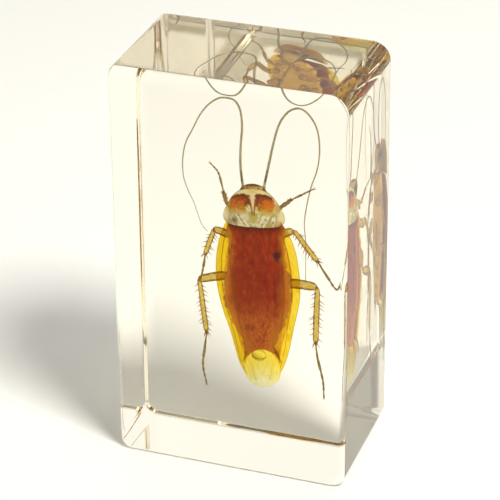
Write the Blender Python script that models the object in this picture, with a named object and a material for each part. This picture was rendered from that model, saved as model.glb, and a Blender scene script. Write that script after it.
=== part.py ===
"""Clear cast resin block that carries a sealed insect and stands on its short end.

The frame has its origin at the middle of the base, +Z up the block, +X to the right and -Y towards
the face through which the insect's back is seen. The block is one solid casting, so the model is one
object. The mould gave its four long edges, which run from front to back, a rounded shape of their own
radius each. The front and back faces were polished flat, and their rims carry a fine chamfer.
"""

import math

import bmesh
import bpy

MM = 0.001

# Driving dimensions.
BLOCK_WIDTH = 41.0 * MM
BLOCK_DEPTH = 24.0 * MM
BLOCK_HEIGHT = 73.0 * MM
TOP_RIGHT_RADIUS = 3.4 * MM
TOP_LEFT_RADIUS = 1.6 * MM
BOTTOM_LEFT_RADIUS = 2.0 * MM
BOTTOM_RIGHT_RADIUS = 2.7 * MM
RIM_CHAMFER = 0.25 * MM

# Fineness of the rounded edges.
CORNER_SEGMENTS = 14
RIM_SEGMENTS = 2
RIM_ANGLE_LIMIT = math.radians(60)
SMOOTH_ANGLE = math.radians(30)

# Clear polyester resin with a faint warm cast.
RESIN_COLOUR = (0.98, 0.96, 0.88, 1.0)
RESIN_ROUGHNESS = 0.02
RESIN_IOR = 1.52


def clear_scene():
    for scene_object in list(bpy.data.objects):
        bpy.data.objects.remove(scene_object, do_unlink=True)


def resin_material():
    material = bpy.data.materials.new("clear_resin")
    material.use_nodes = True
    shader = material.node_tree.nodes["Principled BSDF"]
    shader.inputs["Base Color"].default_value = RESIN_COLOUR
    shader.inputs["Roughness"].default_value = RESIN_ROUGHNESS
    shader.inputs["Metallic"].default_value = 0.0
    shader.inputs["IOR"].default_value = RESIN_IOR
    shader.inputs["Transmission Weight"].default_value = 1.0
    return material


def corner_arc(centre_x, centre_z, radius, start_degrees):
    """Points of a quarter circle, anticlockwise as seen from the front."""
    arc = []
    for step in range(CORNER_SEGMENTS + 1):
        angle = math.radians(start_degrees + 90.0 * step / CORNER_SEGMENTS)
        arc.append((centre_x + radius * math.cos(angle), centre_z + radius * math.sin(angle)))
    return arc


def block_outline():
    """The front face's outline: a rectangle whose four corners each have their own radius."""
    half = BLOCK_WIDTH / 2
    top = BLOCK_HEIGHT
    points = corner_arc(half - TOP_RIGHT_RADIUS, top - TOP_RIGHT_RADIUS, TOP_RIGHT_RADIUS, 0)
    points += corner_arc(TOP_LEFT_RADIUS - half, top - TOP_LEFT_RADIUS, TOP_LEFT_RADIUS, 90)
    points += corner_arc(BOTTOM_LEFT_RADIUS - half, BOTTOM_LEFT_RADIUS, BOTTOM_LEFT_RADIUS, 180)
    points += corner_arc(half - BOTTOM_RIGHT_RADIUS, BOTTOM_RIGHT_RADIUS, BOTTOM_RIGHT_RADIUS, 270)
    return points


def block_mesh():
    """The outline as one face, drawn through the block's depth."""
    mesh = bpy.data.meshes.new("resin_block")
    builder = bmesh.new()
    front = [builder.verts.new((x, -BLOCK_DEPTH / 2, z)) for x, z in block_outline()]
    face = builder.faces.new(front)
    drawn = bmesh.ops.extrude_face_region(builder, geom=[face])
    moved = [item for item in drawn["geom"] if isinstance(item, bmesh.types.BMVert)]
    bmesh.ops.translate(builder, verts=moved, vec=(0.0, BLOCK_DEPTH, 0.0))
    bmesh.ops.recalc_face_normals(builder, faces=builder.faces)
    builder.to_mesh(mesh)
    builder.free()
    mesh.shade_smooth()
    mesh.set_sharp_from_angle(angle=SMOOTH_ANGLE)
    return mesh


def add_resin_block():
    block = bpy.data.objects.new("resin_block", block_mesh())
    bpy.context.scene.collection.objects.link(block)
    block.data.materials.append(resin_material())
    rim = block.modifiers.new("polished_rim", "BEVEL")
    rim.width = RIM_CHAMFER
    rim.segments = RIM_SEGMENTS
    rim.limit_method = "ANGLE"
    rim.angle_limit = RIM_ANGLE_LIMIT
    return block


def main():
    clear_scene()
    add_resin_block()


main()
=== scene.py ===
"""Looks of the clear resin block and of the winged cockroach that is sealed in it."""
import math
import random

import bmesh
import bpy
from mathutils import Matrix, Vector


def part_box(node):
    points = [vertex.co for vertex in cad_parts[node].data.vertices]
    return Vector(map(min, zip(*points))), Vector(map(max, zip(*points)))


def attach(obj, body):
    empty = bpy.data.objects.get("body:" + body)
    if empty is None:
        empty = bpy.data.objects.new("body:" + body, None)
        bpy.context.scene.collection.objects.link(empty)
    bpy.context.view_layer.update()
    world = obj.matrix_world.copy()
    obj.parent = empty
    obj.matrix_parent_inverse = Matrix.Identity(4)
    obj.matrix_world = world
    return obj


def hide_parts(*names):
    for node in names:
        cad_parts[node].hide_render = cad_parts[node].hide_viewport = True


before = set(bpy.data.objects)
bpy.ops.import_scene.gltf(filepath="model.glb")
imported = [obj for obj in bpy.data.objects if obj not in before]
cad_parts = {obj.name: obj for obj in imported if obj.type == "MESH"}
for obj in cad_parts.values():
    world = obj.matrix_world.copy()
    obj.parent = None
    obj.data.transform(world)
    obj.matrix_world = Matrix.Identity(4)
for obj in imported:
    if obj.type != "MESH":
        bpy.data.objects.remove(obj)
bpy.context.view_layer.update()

BLOCK_LOW, BLOCK_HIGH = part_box("resin_block")
BLOCK_MIDDLE = (BLOCK_LOW + BLOCK_HIGH) / 2
MM = 0.001

# The insect's own axes: x to its right, y from its back to its belly, z towards its head.
# Its shapes are in millimetres along these axes, and place_insect takes them into the block.
INSECT_FROM_MIDDLE = 1.6
INSECT_DEPTH = 16
INSECT_HEIGHT = 31.85
INSECT_TURN = math.radians(12)
INSECT_LEAN = math.radians(-2)
TO_RIGHT = Vector((1, 0, 0))
TO_BELLY = Vector((0, 1, 0))
SIDES = (("left", -1), ("right", 1))


def place_insect():
    """Matrix from the insect's millimetres to the block's frame."""
    spot = Vector((
        BLOCK_MIDDLE.x + INSECT_FROM_MIDDLE * MM,
        BLOCK_LOW.y + INSECT_DEPTH * MM,
        BLOCK_LOW.z + INSECT_HEIGHT * MM,
    ))
    turned = Matrix.Rotation(INSECT_TURN, 4, "Z") @ Matrix.Rotation(INSECT_LEAN, 4, "Y")
    return Matrix.Translation(spot) @ turned @ Matrix.Scale(MM, 4)


INSECT_PLACE = place_insect()


# ---- numbers and curves


CURVE_STEPS = 400
POLE_INSET = 1e-3
NEARLY_ZERO = 1e-3


def mix_numbers(a, b, share):
    return a + (b - a) * share


def stepped(*stops):
    """A function of 0 to 1 that passes through (place, value) stops with soft turns."""
    def value(place):
        if place <= stops[0][0]:
            return stops[0][1]
        for (low, start), (high, end) in zip(stops, stops[1:]):
            if place <= high:
                share = (place - low) / (high - low)
                return mix_numbers(start, end, share * share * (3 - 2 * share))
        return stops[-1][1]
    return value


def scaled(stops, size):
    """stepped, with every value times size."""
    return stepped(*[(place, value * size) for place, value in stops])


def curve_point(points, place):
    """The point at place, 0 to 1, on a smooth curve through points."""
    spans = len(points) - 1
    at = min(max(place, 0), 1) * spans
    span = min(int(at), spans - 1)
    t = at - span
    p1, p2 = points[span], points[span + 1]
    p0 = points[span - 1] if span else p1 * 2 - p2
    p3 = points[span + 2] if span + 2 <= spans else p2 * 2 - p1
    return 0.5 * (
        2 * p1 + (p2 - p0) * t
        + (2 * p0 - 5 * p1 + 4 * p2 - p3) * t * t
        + (3 * p1 - p0 - 3 * p2 + p3) * t ** 3
    )


def even_path(points, count):
    """count points evenly spaced along the smooth curve through points."""
    points = [Vector(p) for p in points]
    fine = [curve_point(points, i / CURVE_STEPS) for i in range(CURVE_STEPS + 1)]
    lengths = [0]
    for a, b in zip(fine, fine[1:]):
        lengths.append(lengths[-1] + (b - a).length)
    path = []
    j = 0
    for i in range(count):
        want = lengths[-1] * i / (count - 1)
        while j < CURVE_STEPS - 1 and lengths[j + 1] < want:
            j += 1
        span = lengths[j + 1] - lengths[j]
        share = (want - lengths[j]) / span if span > 0 else 0
        path.append(fine[j].lerp(fine[j + 1], min(share, 1)))
    return path


def ringed(taper, path, wide, narrow):
    """The half size taper gives along path, swollen at every third point and pinched at the others."""
    last = len(path) - 1
    return lambda place: taper(place) * (wide if round(place * last) % 3 == 2 else narrow)


def in_plane(pairs):
    """(x, z) pairs as points of the plane through the insect's middle."""
    return [Vector((x, 0, z)) for x, z in pairs]


def directions(start, end):
    """The direction from start to end, and the one square to it and to the insect's depth."""
    ahead = (end - start).normalized()
    return ahead, ahead.cross(TO_BELLY).normalized()


# ---- meshes


def add_object(name, data):
    made = bpy.data.objects.new(name, data)
    bpy.context.scene.collection.objects.link(made)
    return made


def add_piece(name, mesh, finish):
    """Puts a mesh in the scene with its finish, and lets it ride there."""
    mesh.materials.append(finish)
    piece = add_object(name, mesh)
    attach(piece, "root")
    return piece


class Form:
    """The points and faces of one insect piece, with a mark on each point that its finish reads."""

    def __init__(self):
        self.points = []
        self.faces = []
        self.marks = []

    def tube(self, path, width, depth=None, sides=10):
        """A closed tube on path, marked (place along it, share of a turn, nearness to its side edges).
        width and depth are half sizes as functions of 0 to 1; without depth the tube is round."""
        depth = depth or width
        rings = []
        last = len(path) - 1
        for i, centre in enumerate(path):
            ahead = (path[min(i + 1, last)] - path[max(i - 1, 0)]).normalized()
            side = ahead.cross(TO_BELLY)
            if side.length < NEARLY_ZERO:
                side = ahead.cross(TO_RIGHT)
            side.normalize()
            away = side.cross(ahead).normalized()
            place = i / last
            ring = []
            for k in range(sides):
                turn = 2 * math.pi * k / sides
                beside = side * (width(place) * math.cos(turn))
                ring.append(len(self.points))
                self.points.append(centre + beside + away * (depth(place) * math.sin(turn)))
                self.marks.append((place, k / sides, abs(math.cos(turn))))
            rings.append(ring)
        for low, high in zip(rings, rings[1:]):
            for k in range(sides):
                n = (k + 1) % sides
                self.faces.append((low[k], low[n], high[n], high[k]))
        for place, ring, centre in ((0, rings[0], path[0]), (1, rings[-1], path[-1])):
            middle = len(self.points)
            self.points.append(centre.copy())
            self.marks.append((place, 0, 0))
            for k in range(sides):
                pair = (ring[k], ring[(k + 1) % sides])
                self.faces.append((middle, *(pair if place else pair[::-1])))
        return self

    def spine(self, foot, tip, thick, bend=Vector()):
        """A thin thorn from foot to tip, bowed by bend at its middle."""
        path = [foot.lerp(tip, s) + bend * (4 * s * (1 - s)) for s in (0, 0.35, 0.7, 1)]
        self.tube(path, scaled(((0, 1), (0.35, 0.8), (0.7, 0.5), (1, 0.12)), thick), sides=5)

    def oval(self, centre, half, rings, sides, pull=None):
        """A closed rounded lump, longest along z; pull may shift each point."""
        top = Vector((0, 0, half[2]))
        points = [Vector(centre) + top * math.cos(math.pi * i / rings) for i in range(rings + 1)]
        points[0].z -= POLE_INSET
        points[-1].z += POLE_INSET

        def rounded(size):
            return lambda place: size * max(math.sin(math.pi * place), 0.03)

        first = len(self.points)
        self.tube(points, rounded(half[0]), rounded(half[1]), sides)
        if pull:
            self.points[first:] = [pull(point.copy()) for point in self.points[first:]]
        return self

    def sheet(self, surface, rows, columns, thick):
        """A thin closed plate, marked (u, v, 0 on its upper side and 1 on its under side).
        surface(u, v) is its upper side, and thick(u, v) its thickness along y."""
        count = (rows + 1) * (columns + 1)
        for layer in (0, 1):
            for i in range(rows + 1):
                for j in range(columns + 1):
                    u, v = j / columns, i / rows
                    self.points.append(surface(u, v) + TO_BELLY * (layer * thick(u, v)))
                    self.marks.append((u, v, layer))

        def at(layer, i, j):
            return layer * count + i * (columns + 1) + j

        for i in range(rows):
            for j in range(columns):
                corners = at(0, i, j), at(0, i, j + 1), at(0, i + 1, j + 1), at(0, i + 1, j)
                self.faces.append((corners[0], *corners[:0:-1]))
                self.faces.append(tuple(corner + count for corner in corners))
        rim = [(i, 0) for i in range(rows)] + [(rows, j) for j in range(columns)]
        rim += [(i, columns) for i in range(rows, 0, -1)] + [(0, j) for j in range(columns, 0, -1)]
        for (i, j), (m, n) in zip(rim, rim[1:] + rim[:1]):
            self.faces.append((at(0, i, j), at(1, i, j), at(1, m, n), at(0, m, n)))
        return self

    def build(self, name, finish, slot="limb_cuticle"):
        """Makes the piece where the insect sits in the block."""
        mesh = bpy.data.meshes.new(name)
        mesh.from_pydata([tuple(INSECT_PLACE @ p) for p in self.points], [], self.faces)
        for title, rows in (("own_place", self.points), ("mark", self.marks)):
            held = mesh.attributes.new(title, "FLOAT_VECTOR", "POINT")
            held.data.foreach_set("vector", [number for row in rows for number in row])
        shape = bmesh.new()
        shape.from_mesh(mesh)
        bmesh.ops.recalc_face_normals(shape, faces=shape.faces)
        shape.to_mesh(mesh)
        shape.free()
        mesh.shade_smooth()
        add_piece(name, mesh, finish)


# ---- finishes


def both_ways(operation):
    """A Math operation as an operator and as its reflected form."""
    def forward(self, other):
        return self.math(operation, self, other)

    def reflected(self, other):
        return self.math(operation, other, self)
    return forward, reflected


class Value:
    """One output inside a finish. An expression on it adds its Math nodes."""

    def __init__(self, finish, socket):
        self.finish = finish
        self.socket = socket

    def math(self, operation, *terms):
        return self.finish.node("Math", {"operation": operation}, dict(enumerate(terms)))

    __add__, __radd__ = both_ways("ADD")
    __sub__, __rsub__ = both_ways("SUBTRACT")
    __mul__, __rmul__ = both_ways("MULTIPLY")
    __truediv__, __rtruediv__ = both_ways("DIVIDE")
    __pow__, __rpow__ = both_ways("POWER")

    def __abs__(self):
        return self.math("ABSOLUTE", self)

    def larger(self, other):
        return self.math("MAXIMUM", self, other)

    def ramp(self, low, high, start=0, end=1):
        """Goes softly from start to end while this value goes from low to high."""
        return self.finish.node("MapRange", {"interpolation_type": "SMOOTHSTEP"}, {
            "Value": self, "From Min": low, "From Max": high, "To Min": start, "To Max": end,
        })

    def parts(self):
        """The three numbers of a vector."""
        split = self.finish.node("SeparateXYZ", {}, {0: self}).socket.node
        return [Value(self.finish, output) for output in split.outputs]

    def stretched(self, *scale):
        return self.finish.node("VectorMath", {"operation": "MULTIPLY"}, {0: self, 1: scale})

    def noise(self, scale, detail=3, rough=0.55):
        return self.finish.node("TexNoise", {}, {
            "Vector": self, "Scale": scale, "Detail": detail, "Roughness": rough,
        }, "Fac")

    def wander(self, scale=0.9):
        """A cloudy pattern about 0, which makes the edges that it's added to uneven."""
        return self.noise(scale, 4, 0.6) - 0.5

    def cells(self, scale):
        """Distance from the middles of scattered cells."""
        return self.finish.node("TexVoronoi", {}, {"Vector": self, "Scale": scale}, "Distance")

    def bump(self, distance, strength):
        sockets = {"Height": self, "Distance": distance, "Strength": strength}
        return self.finish.node("Bump", {}, sockets)

    def blend(self, first, second):
        """The first colour where this value is 0, and the second where it is 1."""
        sockets = {MIX_SHARE: self, MIX_FIRST: first, MIX_SECOND: second}
        return self.finish.node("Mix", {"data_type": "RGBA"}, sockets, MIX_RESULT)

    def mixed(self, first, second):
        """The first surface where this value is 0, and the second where it is 1."""
        return self.finish.node("MixShader", {}, {0: self, 1: first, 2: second})


def layered(colour, *coats):
    """colour under (share, colour) coats that are laid on in turn."""
    for share, coat in coats:
        colour = share.blend(colour, coat)
    return colour


# How much of the resin's own sheen its sides and its top show, and the level of the insect's.
SIDE_GLOSS = 0.15
TOP_GLOSS = 0.65
CUTICLE_GLOSS = 0.05
RESIN_INDEX = 1.52
RESIN_TINT = 6.5
# Where a Mix node of colours has its sockets, and its output.
MIX_SHARE, MIX_FIRST, MIX_SECOND, MIX_RESULT = 0, 6, 7, 2


class Finish:
    """The nodes of one material, or of the world."""

    def __init__(self, owner):
        owner.use_nodes = True
        self.owner = owner
        self.tree = owner.node_tree
        self.tree.nodes.clear()

    def node(self, kind, settings, sockets, output=0):
        """Adds a node, its settings first and then its sockets; returns one output, if it has any.
        A colour is given as its red, green and blue."""
        made = self.tree.nodes.new("ShaderNode" + kind)
        for name, value in settings.items():
            setattr(made, name, value)
        for name, value in sockets.items():
            socket = made.inputs[name]
            if isinstance(value, Value):
                self.tree.links.new(value.socket, socket)
            else:
                socket.default_value = (*value, 1) if socket.type == "RGBA" else value
        return Value(self, made.outputs[output]) if made.outputs else None

    def held(self, name):
        """One of the vectors that Form.build keeps on every point."""
        return self.node("Attribute", {"attribute_name": name}, {}, "Vector")

    def film(self, *tint):
        """A clear film that tints what is seen through it."""
        return self.node("BsdfTransparent", {}, {"Color": tint})

    def skin(self, colour, roughness, **more):
        """The insect's skin, which has hardly any gloss inside the resin."""
        return self.node("BsdfPrincipled", {}, {
            "Base Color": colour, "Roughness": roughness, "Specular IOR Level": CUTICLE_GLOSS, **more,
        })

    def grained_skin(self, colour, grain, relief):
        roughness = grain.ramp(0.3, 0.7, 0.32, 0.5)
        return self.skin(colour, roughness, Normal=grain.bump(relief, 0.5))

    def done(self, surface, kind="OutputMaterial", **more):
        self.node(kind, {}, {"Surface": surface, **more})
        return self.owner


def new_finish(name):
    return Finish(bpy.data.materials.new(name))


def insect_finish(name):
    """A finish, the shaded point's place on the insect's own axes, and that place's x, y and z."""
    finish = new_finish(name)
    own = finish.held("own_place")
    return (finish, own, *own.parts())


def ellipse(x, z, middle, half):
    """0 at an ellipse's middle, and 1 on its edge."""
    return ((x - middle[0]) / half[0]) ** 2 + ((z - middle[1]) / half[1]) ** 2


def clear_resin():
    """Water-clear casting resin with a faint straw tint; its top has more sheen than its sides."""
    finish = new_finish("clear_resin")
    spot = finish.node("TexCoord", {}, {}, "Object")
    height = spot.parts()[2]
    haze = spot.noise(45)
    relief = spot.noise(70, 2, 0.4).bump(0.02 * MM, 0.2)
    polish = [finish.node("BsdfPrincipled", {}, {
        "Base Color": (1, 1, 1),
        "Transmission Weight": 1,
        "IOR": RESIN_INDEX,
        "Specular Tint": (gloss, gloss, gloss),
        "Roughness": haze.ramp(0.5, 0.8, 0, 0.004),
        "Normal": relief,
    }) for gloss in (SIDE_GLOSS, TOP_GLOSS)]
    top = height.ramp(BLOCK_HIGH.z - 0.5 * MM, BLOCK_HIGH.z - 0.05 * MM)
    straw = finish.node("VolumeAbsorption", {}, {"Color": (0.75, 0.6, 0.13), "Density": RESIN_TINT})
    return finish.done(top.mixed(*polish), Volume=straw)


# Middle line of the folded hind wings, and of the pale window at all the wings' tips.
FAN_MIDDLE = 0.45


def tip_window(x, z, wander):
    """1 inside the pale rounded window at the wing tips, 0 outside it."""
    reach = ellipse(x, z, (FAN_MIDDLE, -16), (3.3, 4.05))
    return (reach + wander * 0.3).ramp(1.1, 0.78)


def field_colour(own, streak, cells, edge, wander):
    """The fore wing over the body: wine-red ahead and rusty behind, blotched, with an orange border, a dark
    bruise, and painted shade at its roots under the shield's rear edge."""
    x, _, z = own.parts()
    wine = streak.ramp(0.32, 0.68).blend((0.35, 0.024, 0.005), (0.53, 0.05, 0.009))
    rust = cells.ramp(0.15, 0.65).blend((0.52, 0.08, 0.009), (0.84, 0.21, 0.028))
    felt = own.noise(2.4, 3, 0.7)
    blotch = own.stretched(0.8, 0.5, 0.42).noise(1, 4, 0.6)
    border = edge * z.ramp(5, 0, 1, 0.55)
    bruise = ellipse(x, z, (3.8, 6.1), (0.66, 0.88)) + wander * 1.8
    return layered(
        (z + wander * 5).ramp(-1, -9).blend(wine, rust),
        (felt.ramp(0.52, 0.7, 0, 0.45), (0.22, 0.012, 0.005)),
        (felt.ramp(0.46, 0.32, 0, 0.45), (0.8, 0.13, 0.018)),
        (blotch.ramp(0.5, 0.66, 0, 0.6), (0.26, 0.012, 0.004)),
        (blotch.ramp(0.44, 0.32, 0, 0.3), (0.78, 0.14, 0.018)),
        (border.ramp(-1.5, 0.2), (0.85, 0.27, 0.022)),
        (bruise.ramp(0.1, 1.8, 0.88, 0), (0.03, 0.008, 0.012)),
        # Painted shade: the wing darkens at its roots, where the shield's rear edge shades it.
        ((z + wander).ramp(10.1, 11.2, 0, 0.6), (0.16, 0.012, 0.006)),
    )


def leathery_wing():
    """Fore wing: clear yellow along its front edge, chestnut over the body, and a pale window at its tip."""
    finish, own, x, _, z = insect_finish("leathery_wing")
    u, _, layer = finish.held("mark").parts()
    wander = own.wander()
    cloud = own.noise(0.38)
    streak = own.stretched(1.7, 0.5, 1).noise(1, 4, 0.65)
    cells = own.stretched(3.3, 0.2, 2.4).cells(1)
    half = 5.85 - z.ramp(0.5, 6, 0, 0.95) - z.ramp(-2, -14, 0, 3.5)
    edge = abs(x - z.ramp(-2, 8, 0.1, 0.4)) - half + wander * 2.2
    over_body = edge.ramp(0.45, -0.55)
    window = tip_window(x, z, wander)
    hem = u.ramp(0.02, 0.004)

    honey_share = (cloud + wander * 0.3 - x * 0.012).ramp(0.4, 0.62)
    honey = honey_share.mixed(finish.film(0.975, 0.84, 0.2), finish.film(0.91, 0.75, 0.1))
    clear = window.mixed(honey, finish.film(0.998, 0.985, 0.88))
    colour = layered(
        (0.62, 0.4, 0.02),
        (over_body, field_colour(own, streak, cells, edge, wander)),
        (hem, (0.34, 0.25, 0.015)),
        (layer * 0.8, (0.72, 0.34, 0.03)),
    )
    relief = (streak + cells * 0.4).bump(0.05 * MM, 0.4)
    skin = finish.skin(colour, streak.ramp(0.3, 0.7, 0.3, 0.45), Normal=relief)
    cover = over_body.ramp(0, 1, 0.07, 0.88) + hem * 0.25
    return finish.done((cover * window.ramp(0, 1, 1, 0.03)).mixed(clear, skin))


def folded_wing():
    """Hind wing: a thin smoky-orange fan that is pale and clear at the tip."""
    finish, own, x, _, z = insect_finish("folded_wing")
    wander = own.wander()
    grain = own.stretched(5, 1, 1.2).noise(1)
    pale = tip_window(x, z, wander).larger(z.ramp(-14.2, -15.2))
    outer = (z + abs(x - FAN_MIDDLE) * 0.8 + wander * 1.5).ramp(-12, -18.8)
    tip = outer.mixed(finish.film(0.992, 0.955, 0.58), finish.film(0.999, 0.995, 0.89))
    clear = pale.mixed(finish.film(0.965, 0.8, 0.56), tip)
    colour = pale.blend((0.62, 0.26, 0.03), (0.9, 0.8, 0.22))
    skin = finish.skin(colour, grain.ramp(0.3, 0.7, 0.35, 0.5))
    cover = grain.ramp(0.35, 0.8, 0.03, 0.18) * pale.ramp(0, 1, 1, 0.25)
    return finish.done(cover.mixed(clear, skin))


def wing_vein():
    """Raised wing veins, a shade browner than the skin between them, fading at the pale tip."""
    finish, own, x, _, z = insect_finish("wing_vein")
    window = tip_window(x, z, own.wander())
    colour = window.blend((0.4, 0.2, 0.012), (0.7, 0.55, 0.12))
    skin = finish.skin(colour, own.noise(5).ramp(0.3, 0.7, 0.35, 0.5))
    cover = own.noise(2).ramp(0.3, 0.7, 0.22, 0.45) * window.ramp(0, 1, 1, 0.2)
    return finish.done(cover.mixed(finish.film(0.95, 0.8, 0.35), skin))


def patch_colour(across, upward, blot, wander, streak, mottle):
    """The shield's rusty patches: darker towards the middle line and yellower at the rear, with dark brows,
    dark inner edges and smudges."""
    rim = blot.ramp(0.02, 0.55)
    brow = rim * upward.ramp(0.25, 0.6) * across.ramp(0.5, 1, 1, 0.35)
    inner = rim * across.ramp(-0.25, -0.6) * 0.8
    warm = across * 0.55 - upward * 0.75 + wander * 1.6 + mottle * 3
    rear = (upward + wander + streak).ramp(-0.2, -0.9, 0, 0.75)
    smudge = (mottle + streak * 0.5).ramp(0, 0.1) * upward.ramp(0.1, -0.5, 0, 0.6)
    return layered(
        (0.36, 0.052, 0.02),
        (warm.ramp(-0.65, 0.35), (0.72, 0.19, 0.018)),
        (rear, (0.78, 0.38, 0.04)),
        (brow.larger(inner), (0.125, 0.036, 0.008)),
        (smudge, (0.22, 0.085, 0.012)),
    )


def shield_ground(x, z, side, halo, wander, streak, mottle):
    """The shield round its patches: cream ahead and streaked olive behind, with a gold halo, a dusky keel,
    two dark spots, amber rear corners and a golden front."""
    cream = (z + wander).ramp(15, 17).blend((0.99, 0.93, 0.6), (0.97, 0.84, 0.42))
    streaks = (streak + mottle * 0.4).ramp(-0.09, 0.07)
    olive = streaks.blend((0.99, 0.93, 0.66), (0.56, 0.45, 0.16))
    rear = (z + wander * 2).ramp(15, 13.8) * side.ramp(5, 3.8)
    keel = (side + wander * 1.2).ramp(0.3, 1.5, 0.85, 0) * (z + wander).ramp(14.6, 13.6)
    spots = ellipse(side, z, (3.35, 12.55), (0.45, 0.38)) + wander * 1.6 + x * 0.12
    corners = side.ramp(3.7, 4.7) * (z + wander).ramp(13.1, 12.3)
    front = (side + wander * 1.4).ramp(1.7, 0.1) * (z + wander * 0.8).ramp(16.9, 18.1)
    return layered(
        cream,
        (rear, olive),
        (halo * 0.9, (0.72, 0.46, 0.05)),
        (keel * z.ramp(11.8, 12.6), (0.66, 0.54, 0.11)),
        (spots.ramp(0, 1.2, 0.75, 0), (0.2, 0.14, 0.13)),
        (corners * 0.7, (0.74, 0.44, 0.07)),
        (front * 0.6, (0.74, 0.5, 0.15)),
    )


def shield_cuticle():
    """Cream shield with two chestnut patches, a pale line between them and a streaked olive rear."""
    finish, own, x, y, z = insect_finish("shield_cuticle")
    u, v, layer = finish.held("mark").parts()
    wander = own.wander(1.2)
    fine = own.noise(4.5, 3, 0.6)
    mottle = own.noise(2.6, 3, 0.6) - 0.5
    side = abs(x - 0.02)
    slant = finish.node("CombineXYZ", {}, {0: side * 1.5 - z * 0.75, 1: y * 0.5, 2: z * 0.45 + x * 0.35})
    streak = slant.noise(1, 3, 0.6) - 0.5

    # Two blunt patches, wider than tall; a third power gives them their squared shoulders.
    across = (side - 2.08 + x * 0.03 - z.ramp(14.6, 16.6, 0, 0.06)) / 1.86
    upward = (z - 16.05 + (side - 2.05) * 0.2) / 1.52
    ragged = streak * upward.ramp(0.2, -0.8, 0, 5)
    blot = abs(across) ** 3 + abs(upward) ** 3 + wander * 1.3 + mottle + ragged
    halo = (blot + streak * 5).ramp(4, 0.8) * (upward + wander).ramp(0.5, -0.3)

    # A pale stem that narrows to a point at the rear, with a dark line along each side.
    stem_edge = side - z.ramp(14.3, 17.4, 0, 0.3)
    stem = stem_edge.ramp(0.14, 0) * z.ramp(14.2, 15) * z.ramp(17.7, 17.1)
    stem_line = abs(stem_edge - 0.18).ramp(0.1, 0.26, 0.85, 0)
    stem_line = stem_line * (z + wander).ramp(13.3, 14.2) * z.ramp(16.9, 16.2)
    hem = abs(u * 2 - 1).larger(v).ramp(0.955, 0.995)
    colour = layered(
        shield_ground(x, z, side, halo, wander, streak, mottle),
        (blot.ramp(1.15, 0.62), patch_colour(across, upward, blot, wander, streak, mottle)),
        (stem_line, (0.34, 0.13, 0.022)),
        (stem, (0.95, 0.72, 0.42)),
        (hem * 0.75, (0.26, 0.17, 0.05)),
        (layer * 0.85, (0.66, 0.4, 0.07)),
    )
    relief = (streak + fine * 0.3).bump(0.06 * MM, 0.4)
    skin = finish.skin(colour, streak.ramp(-0.3, 0.3, 0.3, 0.5), Normal=relief)
    thin = (side + z.ramp(17, 18.4, 0, 2)).ramp(3.3, 5.2, 0, 0.68)
    return finish.done(thin.mixed(skin, finish.film(0.985, 0.93, 0.7)))


def body_cuticle():
    """Overlapping body rings: wine-red on the back, golden amber on the belly, with darker hems and pits."""
    finish, own, _, depth, _ = insect_finish("body_cuticle")
    along = finish.held("mark").parts()[0]
    cloud = own.wander(0.8)
    grain = own.noise(7, 2)
    shade = cloud.ramp(-0.2, 0.2)
    colour = layered(
        shade.blend((0.5, 0.07, 0.012), (0.32, 0.03, 0.006)),
        ((depth + cloud * 0.6).ramp(-0.4, 0.35),
         shade.blend((0.94, 0.6, 0.09), (0.74, 0.37, 0.04))),
        ((along + cloud * 0.15).ramp(0.82, 0.97) * 0.55, (0.17, 0.055, 0.015)),
        (grain.ramp(0.62, 0.75) * 0.35, (0.22, 0.08, 0.02)),
    )
    return finish.done(finish.grained_skin(colour, grain, 0.04 * MM))


def cuticle(name, pale, deep, dark, scale, solid, glow):
    """Horny skin with cloudy colour, darker joints and painted shade along its side edges. solid is how much
    of it hides what is behind, at the middle and at the edges, and glow tints what shows through."""
    finish, own, *_ = insect_finish(name)
    along, _, edge_nearness = finish.held("mark").parts()
    cloud = own.wander(scale)
    grain = own.noise(scale * 7, 2)
    ends = (abs(along - 0.5) + cloud * 0.1).ramp(0.43, 0.5)
    # Painted shade: keel darkens the tube towards its side edges, where light through a clear amber tube
    # would darken it; the dark ends are the joints.
    keel = (edge_nearness + cloud * 0.5).ramp(0.56, 0.95)
    joints_and_edge_shade = (ends * 0.75).larger(keel * 0.8)
    colour = layered(pale, (cloud.ramp(-0.12, 0.1), deep), (joints_and_edge_shade, dark))
    skin = finish.grained_skin(colour, grain, 0.03 * MM)
    cover = (joints_and_edge_shade + (grain - 0.5) * 0.4).ramp(0, 0.8, *solid)
    return finish.done(cover.mixed(finish.film(*glow), skin))


def head_cuticle():
    """Amber head with a dark brown crown line, dusky cheeks and two small dark simple eyes."""
    finish, own, x, _, z = insect_finish("head_cuticle")
    cloud = own.wander(1.4)
    grain = own.noise(9, 2)
    side = abs(x - HEAD_MIDDLE)
    cheeks = (side + cloud * 0.8).ramp(1.25, 1.95)
    crown = (z + side * side * 0.1 + cloud * 0.3).ramp(18.12, 18.42)
    simple_eyes = ellipse(side, z, (0.95, 17.95), (0.26, 0.2)).ramp(0.4, 1.4, 0.7, 0)
    dusk = cheeks.larger(crown).larger(simple_eyes) * z.ramp(14, 16, 0.3, 1)
    colour = layered(
        (0.78, 0.52, 0.14),
        (cloud.ramp(-0.2, 0.2), (0.54, 0.31, 0.07)),
        (dusk * 0.9, (0.11, 0.038, 0.012)),
    )
    return finish.done(finish.grained_skin(colour, grain, 0.03 * MM))


def eye_facets():
    """Dark compound eye with a fine net of facets."""
    finish, own, *_ = insect_finish("eye_facets")
    cells = own.cells(14)
    net = cells.ramp(0.1, 0.6)
    return finish.done(finish.node("BsdfPrincipled", {}, {
        "Base Color": net.blend((0.085, 0.032, 0.016), (0.022, 0.009, 0.006)),
        "Roughness": cells.ramp(0, 0.6, 0.2, 0.4),
        "Specular IOR Level": 0.25,
        "Normal": cells.bump(0.03 * MM, 0.6),
    }))


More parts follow.
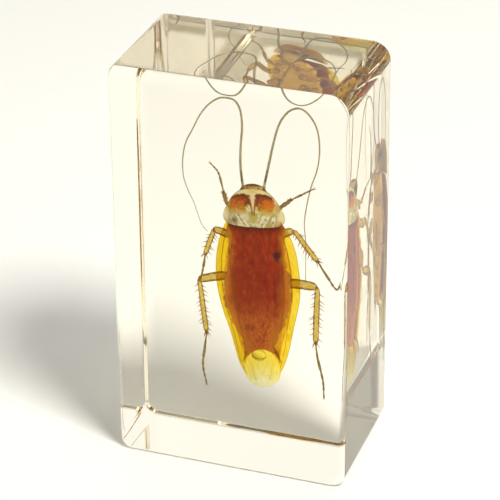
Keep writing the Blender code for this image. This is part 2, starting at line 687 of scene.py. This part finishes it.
def air_bubble():
    """Air in resin: light bends the other way at its wall."""
    finish = new_finish("air_bubble")
    return finish.done(finish.node("BsdfGlass", {}, {"Roughness": 0, "IOR": 1 / RESIN_INDEX}))


# ---- the block


# Corner radii of the block as seen from the front, in millimetres, anticlockwise from the lower left.
CORNER_RADII = (2, 2.7, 3.4, 1.6)
CORNER_STEPS = 16
SMALLEST_RADIUS = 0.12
# Radii of the shallow roll along the left, lower, right and top rims. At ROLL_TILT a tight nose takes over.
FRONT_ROLLS = (1.2, 0.8, 1.4, 3)
BACK_ROLLS = (2.1, 2.2, 1.4, 1.6)
ROLL_TILT = math.radians(48)
ROLL_STEPS = 10
NOSE = 0.25
NOSE_STEPS = 8


def rim_steps():
    """Down a rim: (inset for a roll of 1, fall for a roll of 1, inset and fall of the nose, turn)."""
    sine, cosine = math.sin(ROLL_TILT), math.cos(ROLL_TILT)
    steps = []
    for i in range(ROLL_STEPS + 1):
        turn = ROLL_TILT * i / ROLL_STEPS
        steps.append((sine - math.sin(turn), 1 - math.cos(turn), NOSE * (1 - sine), 0, turn))
    for i in range(1, NOSE_STEPS + 1):
        turn = mix_numbers(ROLL_TILT, math.pi / 2, i / NOSE_STEPS)
        steps.append((0, 1 - cosine, NOSE * (1 - math.sin(turn)), NOSE * (cosine - math.cos(turn)), turn))
    return steps


def outline_at(rolls, share, rest):
    """(x, z, outward direction, roll) round the block's front, moved in by rest and a share of each roll."""
    low_x, high_x = BLOCK_LOW.x / MM, BLOCK_HIGH.x / MM
    low_z, high_z = BLOCK_LOW.z / MM, BLOCK_HIGH.z / MM
    left_roll, low_roll, right_roll, top_roll = rolls
    corners = (
        (low_x, low_z, 1, 1, left_roll, low_roll),
        (high_x, low_z, -1, 1, right_roll, low_roll),
        (high_x, high_z, -1, -1, right_roll, top_roll),
        (low_x, high_z, 1, -1, left_roll, top_roll),
    )
    points = []
    for quarter, ((x, z, way_x, way_z, roll_x, roll_z), radius) in enumerate(zip(corners, CORNER_RADII)):
        inset_x, inset_z = roll_x * share + rest, roll_z * share + rest
        left = max(radius - (inset_x + inset_z) / 2, SMALLEST_RADIUS)
        centre = (x + way_x * (inset_x + left), z + way_z * (inset_z + left))
        for i in range(CORNER_STEPS + 1):
            turn = math.pi + math.pi / 2 * (quarter + i / CORNER_STEPS)
            out = (math.cos(turn), math.sin(turn))
            roll = roll_x * out[0] ** 2 + roll_z * out[1] ** 2
            points.append((centre[0] + left * out[0], centre[1] + left * out[1], out, roll))
    return points


def make_block(finish):
    """The polished block: flat faces, rounded long edges, and rims that roll off before a tight nose."""
    rings = [(BLOCK_LOW.y / MM, -1, FRONT_ROLLS, step) for step in rim_steps()]
    rings += [(BLOCK_HIGH.y / MM, 1, BACK_ROLLS, step) for step in reversed(rim_steps())]
    points, normals, faces = [], [], []
    for face_y, way, rolls, (share, fall, rest, drop, turn) in rings:
        for x, z, out, roll in outline_at(rolls, share, rest):
            y = face_y - way * (roll * fall + drop)
            points.append((x * MM, y * MM, z * MM))
            normals.append((out[0] * math.sin(turn), way * math.cos(turn), out[1] * math.sin(turn)))
    count = 4 * (CORNER_STEPS + 1)
    last = (len(rings) - 1) * count
    for low in range(0, last, count):
        for k in range(count):
            n = (k + 1) % count
            faces.append((low + count + k, low + count + n, low + n, low + k))
    faces.append(tuple(range(count)))
    faces.append(tuple(reversed(range(last, last + count))))
    mesh = bpy.data.meshes.new("clear_block")
    mesh.from_pydata(points, [], faces)
    mesh.shade_smooth()
    mesh.normals_split_custom_set_from_vertices(normals)
    block = add_piece("clear_block", mesh, finish)
    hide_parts("resin_block")


# ---- floor, light and camera


FLOOR_HALF = 6
FLOOR_GAP = 0.05 * MM
GLOW_INSET = 3 * MM
GLOW_FADE = 2 * MM


def pale_floor():
    """Pale matt board, with a glowing patch that sends light up through the block."""
    finish = new_finish("pale_floor")
    spot = finish.node("TexCoord", {}, {}, "Object")
    fibre = spot.noise(400)
    x, y, _ = spot.parts()
    half_x, half_y = BLOCK_HIGH.x - GLOW_INSET, BLOCK_HIGH.y - GLOW_INSET
    under = abs(x).ramp(half_x, half_x - GLOW_FADE) * abs(y).ramp(half_y, half_y - GLOW_FADE)
    board = fibre.blend((0.88, 0.88, 0.87), (0.9, 0.9, 0.89))
    return finish.done(finish.node("BsdfPrincipled", {}, {
        "Base Color": under.blend(board, (0.2, 0.2, 0.2)),
        "Roughness": 0.9,
        "Specular IOR Level": 0,
        "Emission Color": under.blend((0, 0, 0), (1, 0.98, 0.92)),
        "Emission Strength": 0.85,
    }))


def make_floor():
    shape = bmesh.new()
    bmesh.ops.create_grid(shape, x_segments=4, y_segments=4, size=FLOOR_HALF)
    mesh = bpy.data.meshes.new("floor")
    shape.to_mesh(mesh)
    shape.free()
    mesh.materials.append(pale_floor())
    floor = add_object("floor", mesh)
    floor.location.z = BLOCK_LOW.z - FLOOR_GAP


def light_room():
    """A room with a bright rear wall and ceiling, a lit left wall and a window, grey on the camera's side."""
    world = bpy.data.worlds.new("studio")
    bpy.context.scene.world = world
    room = Finish(world)
    x, y, z = room.node("TexCoord", {}, {}, "Generated").parts()
    wall = (y - z * 0.35).ramp(-0.05, 0.45)
    ceiling = (x * 0.3 + y * 0.2 + z * 0.93).ramp(0.85, 0.97)
    side_wall = (0 - x).ramp(0.2, 0.8)
    window = (x * 0.84 - y * 0.25 + z * 0.48).ramp(0.84, 0.94)
    glow = 0.13 + wall * 0.92 + ceiling * 0.45 + side_wall * 0.25 + window * 0.95
    room.done(room.node("Background", {}, {"Color": (1, 0.985, 0.91), "Strength": glow}), "OutputWorld")


def add_key_light():
    """One soft round light from the right, above and in front."""
    place, aim = Vector((0.4, -0.24, 0.76)), Vector((0, 0, 0.03))
    lamp = bpy.data.lights.new("key", "AREA")
    lamp.shape = "DISK"
    lamp.size = 0.27
    lamp.energy = 7.1
    lamp.color = (1, 0.98, 0.9)
    holder = add_object("key", lamp)
    holder.location = place
    holder.rotation_mode = "QUATERNION"
    holder.rotation_quaternion = (aim - place).to_track_quat("-Z", "Y")


def set_render_look():
    """Enough bounces for light to pass in and out of the block and through the wings, and plain colours."""
    scene = bpy.context.scene
    scene.cycles.max_bounces = 32
    scene.cycles.glossy_bounces = 16
    scene.cycles.transmission_bounces = 24
    scene.cycles.transparent_max_bounces = 48
    scene.cycles.diffuse_bounces = 5
    scene.cycles.sample_clamp_indirect = 4
    scene.view_settings.view_transform = "Standard"
    scene.view_settings.look = "None"


CAMERA_AZIMUTH = math.radians(19.635)
CAMERA_TIP = math.radians(90 - 28.644)
CAMERA_ROLL = math.radians(-0.562)
CAMERA_DISTANCE = 0.4103
AIM_FROM_MIDDLE = Vector((-0.415, 0, 0.07)) * MM


def place_camera():
    camera = bpy.data.cameras.new("camera")
    camera.lens = 174
    camera.sensor_width = 36
    camera.clip_start = 0.01
    camera.clip_end = 20
    turned = Matrix.Rotation(CAMERA_AZIMUTH, 4, "Z") @ Matrix.Rotation(CAMERA_TIP, 4, "X")
    turned = turned @ Matrix.Rotation(CAMERA_ROLL, 4, "Z")
    holder = add_object("camera", camera)
    aim = Matrix.Translation(BLOCK_MIDDLE + AIM_FROM_MIDDLE)
    holder.matrix_world = aim @ turned @ Matrix.Translation((0, 0, CAMERA_DISTANCE))
    bpy.context.scene.camera = holder


# ---- the insect


HEAD_MIDDLE = 0.15
MOUTH_MIDDLE = 0.1
BODY_MIDDLE = 0.1
SHIELD_MIDDLE = 0.12

MEMBRANE = leathery_wing()
HIND_MEMBRANE = folded_wing()
VEIN = wing_vein()
SHIELD = shield_cuticle()
BODY = body_cuticle()
HEAD = head_cuticle()
LIMB = cuticle(
    "limb_cuticle", (0.94, 0.7, 0.16), (0.7, 0.38, 0.055), (0.28, 0.12, 0.02), 1.5,
    (0.3, 0.92), (0.96, 0.85, 0.42),
)
THORN = cuticle(
    "thorn_cuticle", (0.7, 0.42, 0.11), (0.5, 0.26, 0.06), (0.34, 0.15, 0.03), 2,
    (0.6, 0.9), (0.93, 0.78, 0.42),
)
FEELER = cuticle(
    "feeler_cuticle", (0.44, 0.33, 0.15), (0.3, 0.21, 0.08), (0.22, 0.14, 0.05), 1.1,
    (0.45, 0.85), (0.93, 0.88, 0.7),
)
FOOT = cuticle(
    "foot_cuticle", (0.56, 0.4, 0.13), (0.38, 0.23, 0.06), (0.15, 0.075, 0.02), 1.6,
    (0.62, 0.95), (0.9, 0.78, 0.42),
)
EYE = eye_facets()

# Each feeler's route from the head to its tip.
FEELERS = {
    "left": [
        (-1.5, 1, 17.2), (-1.8, 2, 20.3), (-1.8, 2.4, 22.8), (-1.6, 2.6, 25.4), (-1.3, 2.7, 28),
        (-1.3, 2.7, 30.2), (-1.6, 2.6, 31.9), (-2.4, 2.5, 33.2), (-3.8, 2.4, 33.6), (-5.2, 2.4, 33.4),
        (-6.9, 2.3, 32.2), (-8.4, 2.3, 30.3), (-9.9, 2.2, 27.5), (-11.1, 2.2, 25.2), (-11.7, 2.2, 22.8),
        (-11.9, 2.2, 20.8), (-11.8, 2.3, 18.5), (-11.2, 2.4, 16.3), (-10.3, 2.5, 14), (-9.7, 2.7, 11.7),
        (-9.1, 2.9, 9.7), (-8.2, 3.2, 8.4),
    ],
    "right": [
        (1.9, 1, 17.4), (2.9, 2, 21.3), (3.7, 2.4, 24.6), (4.5, 2.6, 27.6), (5.4, 2.7, 29.8),
        (6.7, 2.7, 31.5), (8.2, 2.7, 32.2), (9.5, 2.7, 31.8), (10.7, 2.6, 30.4), (11.5, 2.6, 28.5),
        (11.8, 2.5, 26), (11.7, 2.5, 23.6), (11.2, 2.5, 21), (10.3, 2.6, 18.4), (9.6, 2.7, 15.8),
        (9.1, 2.8, 13.3), (8.8, 2.9, 10.9), (8.9, 3, 8.2), (8.9, 3, 6), (8.8, 3, 2.9), (8.7, 3, 0),
    ],
}
FEELER_RINGS = 130


def make_feelers():
    """Each feeler has a stout first joint, a small second one and a long whip of many rings."""
    for side, route in FEELERS.items():
        path = even_path(route, FEELER_RINGS * 3 + 1)
        stock = Form().tube(path[:9], stepped((0, 0.16), (0.5, 0.34), (1, 0.22)), sides=12)
        stock.tube(path[8:13], stepped((0, 0.16), (0.5, 0.26), (1, 0.18)), sides=12)
        stock.build("feeler_stock_" + side, FEELER)
        whip_path = path[12:]
        taper = stepped((0, 0.225), (0.25, 0.185), (0.55, 0.12), (1, 0.055))
        whip = Form().tube(whip_path, ringed(taper, whip_path, 1.12, 0.9), sides=8)
        whip.build("feeler_whip_" + side, FEELER)


# Half width and height of the shield's rim, from its front middle round to its rear middle.
SHIELD_EDGE = in_plane([
    (0, 18.35), (1.3, 18.32), (2.45, 18), (3.45, 17.1), (4.2, 16), (4.9, 14.6), (5.35, 13.2),
    (5.1, 12.15), (3.9, 11.62), (2, 11.5), (0, 11.48),
])
SHIELD_FRONT, SHIELD_REAR = 18.35, 11.48
SHIELD_HALF = 5.35


def make_shield():
    """The neck shield: a wide saddle plate with a thin turned-down rim."""
    def surface(u, v):
        across = 2 * u - 1
        rim = curve_point(SHIELD_EDGE, v)
        reach = abs(across)
        x = math.copysign(rim.x, across) * reach
        arch = abs(x) / SHIELD_HALF
        z = mix_numbers(mix_numbers(SHIELD_FRONT, SHIELD_REAR, v), rim.z, reach ** 2)
        y = -2.65 + 1.25 * arch ** 2.2 + 1.2 * (1 - v) ** 3 + 0.2 * v ** 4
        return Vector((x + SHIELD_MIDDLE, y, z))

    plate = Form().sheet(surface, 44, 56, lambda u, v: 0.12 + 0.2 * (1 - abs(2 * u - 1) ** 4))
    plate.build("neck_shield", SHIELD, "shield_cuticle")


HEAD_HEIGHT = 16.75


def make_head_capsule():
    """A lump that is drawn out, narrowed and bent to the belly below its middle."""
    def pull(p):
        low = max(0, HEAD_HEIGHT - p.z)
        p.z -= 0.85 * low
        p.x = HEAD_MIDDLE + (p.x - HEAD_MIDDLE) * (1 - 0.19 * low)
        p.y += 0.27 * low
        return p

    head = Form().oval((HEAD_MIDDLE, 1, HEAD_HEIGHT), (2.45, 1.5, 1.75), 24, 32, pull)
    head.build("head_capsule", HEAD, "body_cuticle")


def make_eye(side, way):
    """A kidney-shaped eye that wraps round the side of the head."""
    def kidney(p):
        p.x += way * 0.25 * math.cos((p.y - 0.6) * 1.4)
        return p

    eye = Form().oval((HEAD_MIDDLE + way * 1.88, 0.75, 16.55), (0.42, 0.75, 0.9), 14, 20, kidney)
    eye.build("eye_" + side, EYE, "eye")


def make_palps(side, way):
    """A long palp of three joints and a short one beside it."""
    long_route = [(0.7, 2.6, 13.9), (1.5, 3.2, 13), (2, 3.5, 12), (1.7, 3.7, 11.2)]
    short_route = [(0.35, 3, 13.3), (0.6, 3.5, 12.6), (0.5, 3.8, 11.9)]
    size = stepped((0, 0.13), (0.3, 0.2), (0.33, 0.12), (0.62, 0.2), (0.65, 0.12), (0.93, 0.23), (1, 0.08))
    palps = Form()
    for route, count, share in ((long_route, 28, 1), (short_route, 16, 0.8)):
        path = even_path([(MOUTH_MIDDLE + way * x, y, z) for x, y, z in route], count)
        palps.tube(path, lambda place: size(place) * share, sides=8)
    palps.build("palps_" + side, LIMB)


def make_head():
    """The head is tucked under the shield: crown, eyes at its sides, and mouthparts towards the belly."""
    make_head_capsule()
    for side, way in SIDES:
        make_eye(side, way)
        make_palps(side, way)
        jaw = Form().oval((MOUTH_MIDDLE + way * 0.45, 2.55, 13.5), (0.48, 0.35, 0.75), 10, 14)
        jaw.build("jaw_" + side, HEAD, "body_cuticle")
    lip = Form().oval((MOUTH_MIDDLE, 2.75, 13.9), (0.7, 0.28, 0.6), 10, 18)
    lip.build("upper_lip", LIMB)


BODY_OUTLINE = stepped(
    (0, 3.3), (0.08, 4.2), (0.3, 4.75), (0.5, 5.3), (0.66, 4.7), (0.84, 3.2), (0.95, 2.5), (1, 2.3),
)
BODY_TOP, BODY_END = 12.6, -13.2
BODY_DEPTH = 0.8
BODY_SIDES = 36
ABDOMEN_START = 3.6
ABDOMEN_RINGS = 8
RING_OVERLAP = 0.5


def body_half_width(z):
    return BODY_OUTLINE((BODY_TOP - z) / (BODY_TOP - BODY_END))


def body_path(x, y, top, low, count):
    return [Vector((x, y, mix_numbers(top, low, i / count))) for i in range(count + 1)]


def make_chest_plate(name, top, low, bulge):
    def width(place):
        rounding = math.sin(math.pi * min(max(place * 1.1, 0.1), 0.95)) ** 0.5
        return (body_half_width(mix_numbers(top, low, place)) + bulge) * (0.8 + 0.2 * rounding)

    def deep(place):
        return 1.5 * (0.72 + 0.28 * math.sin(math.pi * place) ** 0.6)

    chest = Form().tube(body_path(BODY_MIDDLE, BODY_DEPTH, top, low, 12), width, deep, BODY_SIDES)
    chest.build(name, BODY, "body_cuticle")


def notch_end(plate, low):
    """Cuts the broad rounded notch between the two lobes of the last ring."""
    for point in plate.points:
        near = max(0, 1 - (point.z - low) / 1.1)
        middle = max(0, 1 - (point.x / 2.1) ** 2)
        point.z += 1.15 * near * middle


def make_belly_ring(ring):
    """One ring of the belly, widest towards its rear hem; the last one is notched."""
    step = (ABDOMEN_START - BODY_END) / ABDOMEN_RINGS
    top = ABDOMEN_START - ring * step + RING_OVERLAP
    low = ABDOMEN_START - (ring + 1) * step
    shell = stepped((0, 0.955), (0.15, 0.97), (0.8, 1), (0.93, 1), (1, 0.965))
    path = body_path(BODY_MIDDLE - 0.05 * ring, BODY_DEPTH + 0.03 * ring, top, low, 10)
    plate = Form().tube(
        path, lambda place: body_half_width(mix_numbers(top, low, place)) * shell(place),
        lambda place: (1.4 - 0.07 * ring) * shell(place), BODY_SIDES,
    )
    if ring == ABDOMEN_RINGS - 1:
        notch_end(plate, low)
    plate.build(f"belly_ring_{ring + 1}", BODY, "body_cuticle")


def make_body():
    """Chest in two plates, a belly of overlapping rings and two ringed tail feelers."""
    make_chest_plate("middle_chest", BODY_TOP, 7.4, 0)
    make_chest_plate("rear_chest", 7.8, 3, 0.1)
    for ring in range(ABDOMEN_RINGS):
        make_belly_ring(ring)
    for side, way in SIDES:
        route = ((0.35 + way * 2.1, -12.6), (0.5 + way * 2.8, -14.1), (0.5 + way * 3.4, -15.7))
        path = even_path([(x, 0.9, z) for x, z in route], 37)
        tail = Form().tube(path, ringed(stepped((0, 0.2), (0.3, 0.3), (1, 0.07)), path, 1.1, 0.86))
        tail.build("tail_feeler_" + side, FEELER)


# Outer and inner edge of each fore wing, from its root to its tip.
LEFT_WING = (
    [(-4.7, 12), (-5.9, 9.4), (-6.6, 6.6), (-6.95, 3.8), (-7, 1), (-6.7, -2), (-6, -5.4),
     (-5, -8.8), (-4.3, -12), (-3.6, -15), (-2.5, -17.3), (-1.1, -18.5)],
    [(0.6, 12), (1.3, 9.4), (1.9, 6.6), (2.4, 3.8), (2.8, 1), (2.9, -2), (2.85, -5.4),
     (2.6, -8.8), (2.1, -12), (1.5, -15), (0.6, -17.3), (-0.5, -18.6)],
)
RIGHT_WING = (
    [(4.8, 12.2), (6.2, 9.8), (7.1, 7), (7.5, 4.2), (7.7, 1.2), (7.6, -1.8), (7.1, -4.6),
     (6.3, -7.9), (5.6, -11.2), (4.7, -14.4), (3.5, -16.9), (2, -18.4)],
    [(-0.4, 12), (-1.1, 9.4), (-1.7, 6.6), (-2.2, 3.8), (-2.5, 1), (-2.6, -2), (-2.5, -5.4),
     (-2.2, -8.8), (-1.6, -12), (-0.8, -15), (0.2, -17.3), (1.4, -18.5)],
)

# Outer and inner edge of the left folded hind wing, from its root to its tip, measured from the wings'
# middle line; the right one mirrors it. Its tip is as wide as the rounded end that shows past the body.
FAN_OUTER = [
    (-4.1, 10.5), (-5.2, 7), (-5.9, 3), (-6, 0), (-5.6, -4), (-4.6, -8), (-3.7, -11.5),
    (-3.1, -14), (-3.35, -16.2), (-2.85, -18.2), (-1.5, -19.6), (-0.1, -20),
]
FAN_INNER = [
    (-0.2, 10.5), (0.2, 7), (0.8, 3), (1.2, 0), (1.4, -4), (1.7, -8), (2.4, -11.5),
    (3.1, -14), (3.35, -16.2), (2.85, -18.2), (1.5, -19.6), (0.1, -20),
]


WING_REACH = 7.6


def wing_surface(outer, inner, lift, crown):
    """A wing's upper side between two edges: crowned, turned down at its sides and tucked in at its root."""
    outer, inner = in_plane(outer), in_plane(inner)

    def surface(u, v):
        spot = curve_point(outer, v).lerp(curve_point(inner, v), u)
        reach = min(abs(spot.x - BODY_MIDDLE) / WING_REACH, 1)
        tuck = 0.95 * max(0, 1 - v / 0.16)
        spot.y = lift - crown * (1 - reach ** 2) * (1 - 0.45 * v) + 0.25 * reach ** 4 + tuck
        return spot
    return surface


VEIN_STEPS = 25
VEIN_LIFT = TO_BELLY * -0.02


def make_vein_net(name, surface, front, seed):
    """Raised veins: three strong ones, and their forks to the front edge, the tip and the inner edge."""
    chance = random.Random(seed)
    net = Form()

    def vein(start, end, curve, thick):
        """A vein from start to end, both (u, v); the larger curve is, the later it crosses the wing."""
        route = []
        for i in range(VEIN_STEPS + 1):
            place = i / VEIN_STEPS
            u = mix_numbers(start[0], end[0], place ** curve)
            v = mix_numbers(start[1], end[1], place)
            route.append(surface(u, v) + VEIN_LIFT)
        net.tube(route, scaled(((0, 1), (0.7, 0.6), (1, 0.25)), thick), sides=6)

    vein((front + 0.06, 0.02), (front, 0.86), 0.7, 0.085)
    vein((0.3, 0.02), (0.24, 0.9), 1.3, 0.06)
    vein((0.45, 0.02), (0.97, 0.4), 1.8, 0.075)
    for i in range(11):
        start = 0.1 + 0.06 * i
        vein((front + 0.02, start), (0.01, start + 0.09), 1.2, 0.022)
    for i in range(16):
        start = 0.14 + 0.04 * i
        end = min(start + 0.34 + 0.04 * chance.random(), 0.985)
        vein((0.26 + 0.01 * chance.random(), start), (0.98 - 0.5 * i / 16, end), 1.1, 0.035)
    for i in range(5):
        vein((0.5 + 0.08 * i, 0.03), (0.97, 0.14 + 0.05 * i), 1.5, 0.035)
    net.build(name, VEIN, "wing_membrane")


def make_fore_wing(side, edges, lift, front, seed):
    surface = wing_surface(*edges, lift, 0.75)
    wing = Form().sheet(surface, 70, 26, lambda u, v: 0.05)
    wing.build("leathery_wing_" + side, MEMBRANE, "wing_membrane")
    make_vein_net("wing_veins_" + side, surface, front, seed)


PLEATS = 9
PLEAT_DEPTH = 0.03


def make_hind_wing(side, way, lift):
    """A folded fan; its pleats flatten towards both edges."""
    outer, inner = [[(FAN_MIDDLE + way * x, z) for x, z in edge] for edge in (FAN_OUTER, FAN_INNER)]
    surface = wing_surface(outer, inner, lift, 0.6)

    def pleated(u, v):
        spot = surface(u, v)
        spot.y += PLEAT_DEPTH * math.sin(u * 2 * math.pi * PLEATS) * min(1, 4 * u, 4 * (1 - u))
        return spot

    fan = Form().sheet(pleated, 60, 72, lambda u, v: 0.035)
    fan.build("folded_wing_" + side, HIND_MEMBRANE, "wing_membrane")


def make_wings():
    """The left leathery wing lies over the right one, and pale folded wings show beneath and past both."""
    make_fore_wing("left", LEFT_WING, -1.62, 0.07, 3)
    make_fore_wing("right", RIGHT_WING, -1.48, 0.125, 5)
    make_hind_wing("left", 1, -1.28)
    make_hind_wing("right", -1, -1.16)


# Each leg: hip, root of the thigh, knee and ankle; the foot's route from the ankle on; the half widths of
# thigh and shin; and the number of pairs of thorns along the shin.
LEGS = {
    "front_left": (
        ((-1.5, 2.6, 12.6), (-2.9, 3.2, 12.6), (-4.4, 2.6, 13.9), (-5, 2.3, 16.3)),
        [(-5.3, 2.3, 18), (-5.8, 2.3, 20), (-7.1, 2.4, 21.6)], 0.6, 0.34, 3,
    ),
    "front_right": (
        ((1.7, 2.6, 12.6), (3, 3.2, 12.8), (4.6, 2.6, 13.6), (6.6, 2.3, 15.5)),
        [(8.2, 2.3, 16.4), (10.1, 2.3, 17.5), (10.7, 2.3, 17.8)], 0.6, 0.34, 3,
    ),
    "middle_left": (
        ((-2.2, 2.7, 9.6), (-3.6, 3.2, 7.6), (-7.1, 1.7, 9.4), (-8.8, 1.9, 4.4)),
        [(-9.1, 2, 2.6), (-9.5, 2, 0.8), (-9.9, 2.2, -0.8)], 0.78, 0.48, 6,
    ),
    "middle_right": (
        ((2.4, 2.7, 9.6), (3.8, 3.2, 8), (6.8, 1.9, 9.9), (10.9, 2.1, 4.2)),
        [(12.5, 2.2, 1.4), (14.1, 2.3, -1), (15, 2.3, 0.9)], 0.8, 0.52, 8,
    ),
    "hind_left": (
        ((-2.4, 2.8, 4.6), (-4, 3.2, 0.3), (-10.2, 1.3, -0.35), (-9.3, 1.6, -10.8)),
        [(-9.8, 1.7, -14), (-10.3, 1.8, -17.5), (-9.8, 2, -21.4)], 0.88, 0.5, 11,
    ),
    "hind_right": (
        ((2.6, 2.8, 4.4), (4.2, 3.2, -0.6), (10.6, 1.3, -0.4), (10.1, 1.6, -11.6)),
        [(10.4, 1.7, -14.6), (11.2, 1.8, -19), (11.3, 2, -22.6)], 0.96, 0.55, 11,
    ),
}
FRONT_THORN_REACH = 0.5
MISSING_THORNS = 0.18
END_SPURS = 5
# Swellings and pinches of the foot's five joints, for a foot of size 1.
FOOT_JOINTS = (
    (0, 0.1), (0.46, 0.2), (0.5, 0.11), (0.62, 0.18), (0.645, 0.11), (0.74, 0.17),
    (0.76, 0.11), (0.84, 0.16), (0.86, 0.08), (0.97, 0.13), (1, 0.07),
)


def make_hip(name, hip, root, thigh):
    haunch = Form().tube(
        even_path([hip, hip.lerp(root, 0.5) + Vector((0, 0.15, 0)), root], 16),
        stepped((0, 0.5), (0.4, 1.25 * thigh + 0.2), (0.85, 0.5 * thigh), (1, 0.2)),
        stepped((0, 0.3), (0.4, 0.55), (0.85, 0.35), (1, 0.15)), 18,
    )
    haunch.build("hip_" + name, LIMB)


def make_thigh(name, root, knee, thigh, thorns):
    """A flattened thigh with a few thorns along the half towards its knee."""
    wide = ((0.1, 0.7), (0.35, 1), (0.8, 0.92), (0.94, 0.78), (1, 0.4))
    deep = ((0.1, 0.4), (0.35, 0.62), (0.94, 0.5), (1, 0.3))
    upper = Form().tube(
        even_path([root, root.lerp(knee, 0.5) + Vector((0, 0.1, 0.1)), knee], 26),
        stepped((0, 0.25), *[(place, size * thigh) for place, size in wide]),
        stepped((0, 0.2), *[(place, size * thigh) for place, size in deep]), 18,
    )
    ahead, side = directions(root, knee)
    for i in range(thorns):
        foot = root.lerp(knee, 0.5 + 0.4 * i / thorns) - side * thigh * 0.6
        upper.spine(foot, foot - side * 0.5 + ahead * 0.35, 0.06)
    upper.build("thigh_" + name, LIMB)


def shin_path(knee, ankle):
    """The shin's middle line, which bows a little beyond the knee."""
    _, bow = directions(knee, ankle)
    bends = [knee.lerp(ankle, place) + bow * size for place, size in ((0.12, 0.12), (0.5, 0.05))]
    return even_path([knee, *bends, ankle], 40)


def make_shin(name, knee, ankle, shin, finish):
    wide = ((0, 0.45), (0.06, 0.85), (0.5, 1), (0.93, 0.95), (1, 0.6))
    deep = ((0, 0.45), (0.06, 0.7), (0.5, 0.75), (0.93, 0.75), (1, 0.5))
    lower = Form().tube(shin_path(knee, ankle), scaled(wide, shin), scaled(deep, shin), 14)
    lower.build("shin_" + name, finish)


def make_shin_thorns(name, knee, ankle, shin, thorns, reach):
    """Pairs of thorns along the shin, each with a socket at its foot, and a crown of spurs at the ankle."""
    chance = random.Random(name)
    path = shin_path(knee, ankle)
    ahead, side = directions(knee, ankle)
    hedge = Form()
    for i in range(thorns):
        for way in (-1, 1):
            if chance.random() < MISSING_THORNS:
                continue
            stagger = 0.5 if way > 0 else 0
            place = 0.1 + 0.86 * (i + stagger + mix_numbers(-0.3, 0.3, chance.random())) / thorns
            out = side * way
            length = mix_numbers(0.65, 1.25, chance.random()) * (0.55 + shin) * reach
            tilt = mix_numbers(0.55, 0.8, chance.random())
            lift = Vector((0, mix_numbers(-0.25, 0.25, chance.random()), 0))
            foot = curve_point(path, place) + out * shin * 0.72
            hedge.spine(foot, foot + (out + ahead * tilt + lift).normalized() * length, 0.09, ahead * 0.05)
            hedge.oval(foot, (0.13, 0.13, 0.2), 4, 7)
    for i in range(END_SPURS):
        turn = 2 * math.pi * i / END_SPURS
        out = side * math.cos(turn) + TO_BELLY * math.sin(turn)
        foot = ankle + out * shin * 0.5
        hedge.spine(foot, foot + (out * 0.6 + ahead).normalized() * (0.5 + shin) * reach, 0.09)
    hedge.build("shin_thorns_" + name, THORN)


def make_foot(name, route, size):
    """A foot of five joints that ends in two claws."""
    path = even_path(route, 60)
    foot = Form().tube(path, scaled(FOOT_JOINTS, size))
    end = path[-1]
    ahead, side = directions(path[-4], end)
    for way in (-1, 1):
        foot.spine(end, end + ahead * 0.35 + side * way * 0.32, 0.05, side * way * 0.08 + ahead * 0.05)
    foot.build("foot_" + name, FOOT)


def make_leg(name, joints, toes, thigh, shin, thorns):
    hip, root, knee, ankle = [Vector(joint) for joint in joints]
    front = name.startswith("front")
    make_hip(name, hip, root, thigh)
    make_thigh(name, root, knee, thigh, max(thorns // 3, 2))
    make_shin(name, knee, ankle, shin, FOOT if front else LIMB)
    make_shin_thorns(name, knee, ankle, shin, thorns, FRONT_THORN_REACH if front else 1)
    make_foot(name, [ankle, *toes], 0.75 + shin)


def make_bubble():
    """A flat bubble between the pale wing ends and the front face."""
    bubble = Form().oval((-0.1, -0.95, -13.75), (1.35, 0.42, 1.2), 16, 24)
    bubble.build("bubble_over_tail", air_bubble(), "clear_resin")


make_block(clear_resin())
make_wings()
make_body()
make_shield()
make_head()
make_feelers()
for leg_name, leg in LEGS.items():
    make_leg(leg_name, *leg)
make_bubble()
make_floor()
light_room()
add_key_light()
set_render_look()
place_camera()
